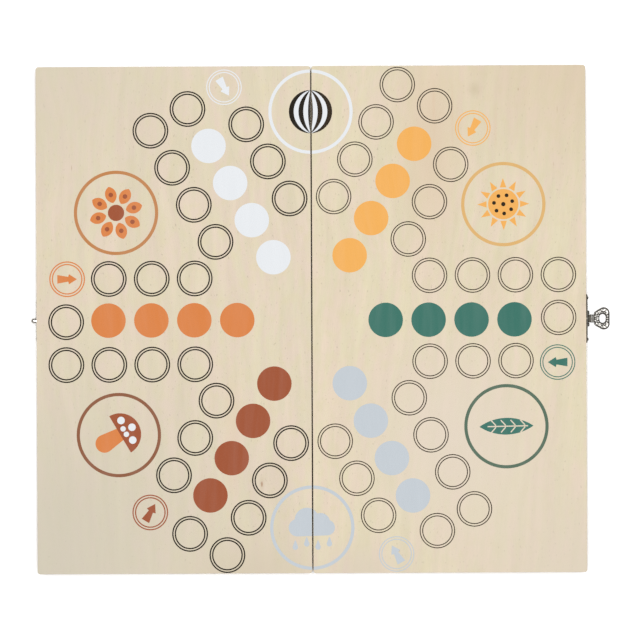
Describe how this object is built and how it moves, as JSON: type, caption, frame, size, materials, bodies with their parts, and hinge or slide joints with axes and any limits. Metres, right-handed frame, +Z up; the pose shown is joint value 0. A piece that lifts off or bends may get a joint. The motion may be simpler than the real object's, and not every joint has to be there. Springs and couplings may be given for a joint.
{
  "type": "folding board game box",
  "caption": "Two shallow wooden trays hinged into a flat box that opens into a printed track board for six players, with a hasp on the outer wall.",
  "frame": {"origin": "under the middle of the whole object, at the level of the table it lies on", "axes": "+Z up out of the printed faces, Y along the fold, +X from the fold to the half with the hasp"},
  "size_m": [0.3436, 0.3, 0.0234],
  "materials": {
    "ply": "satin, pale fine-grained plywood",
    "wood": "satin, pale solid wood",
    "hinge_steel": "dark bronze plating",
    "nickel": "antique nickel, dark in the recesses",
    "ink_black": "printed ink",
    "ink_white": "printed ink",
    "ink_orange": "printed ink",
    "ink_brown": "printed ink",
    "ink_grey": "printed ink",
    "ink_yellow": "printed ink",
    "ink_green": "printed ink"
  },
  "bodies": {
    "left_half": {"left_panel": "ply", "left_outer_wall": "wood", "left_seam_wall": "wood", "left_front_wall": "wood", "left_back_wall": "wood", "front_hinge_left_leaf": "hinge_steel", "front_hinge_pin": "hinge_steel", "back_hinge_left_leaf": "hinge_steel", "back_hinge_pin": "hinge_steel", "left_hinge_screws": "hinge_steel", "catch_plate": "nickel", "catch_nails": "nickel", "left_print_black": "ink_black", "left_print_white": "ink_white", "left_print_orange": "ink_orange", "left_print_brown": "ink_brown", "left_print_grey": "ink_grey"},
    "right_half": {"right_panel": "ply", "right_outer_wall": "wood", "right_seam_wall": "wood", "right_front_wall": "wood", "right_back_wall": "wood", "front_hinge_right_leaf": "hinge_steel", "back_hinge_right_leaf": "hinge_steel", "right_hinge_screws": "hinge_steel", "hasp_plate": "nickel", "hasp_pin": "nickel", "hasp_nails": "nickel", "right_print_black": "ink_black", "right_print_white": "ink_white", "right_print_yellow": "ink_yellow", "right_print_green": "ink_green", "right_print_grey": "ink_grey"},
    "hasp_tongue": {"hasp_tongue": "nickel"}
  },
  "joints": [
    {"name": "fold", "type": "hinge", "parent": "left_half", "child": "right_half", "pos_m": [-0.00539, 0, 0.0012], "axis": [0, 1, 0], "range_deg": [0, 180]},
    {"name": "hasp", "type": "hinge", "parent": "right_half", "child": "hasp_tongue", "pos_m": [0.15851, 0, 0.0037], "axis": [0, 1, 0], "range_deg": [-94, 75.9]}
  ]
}
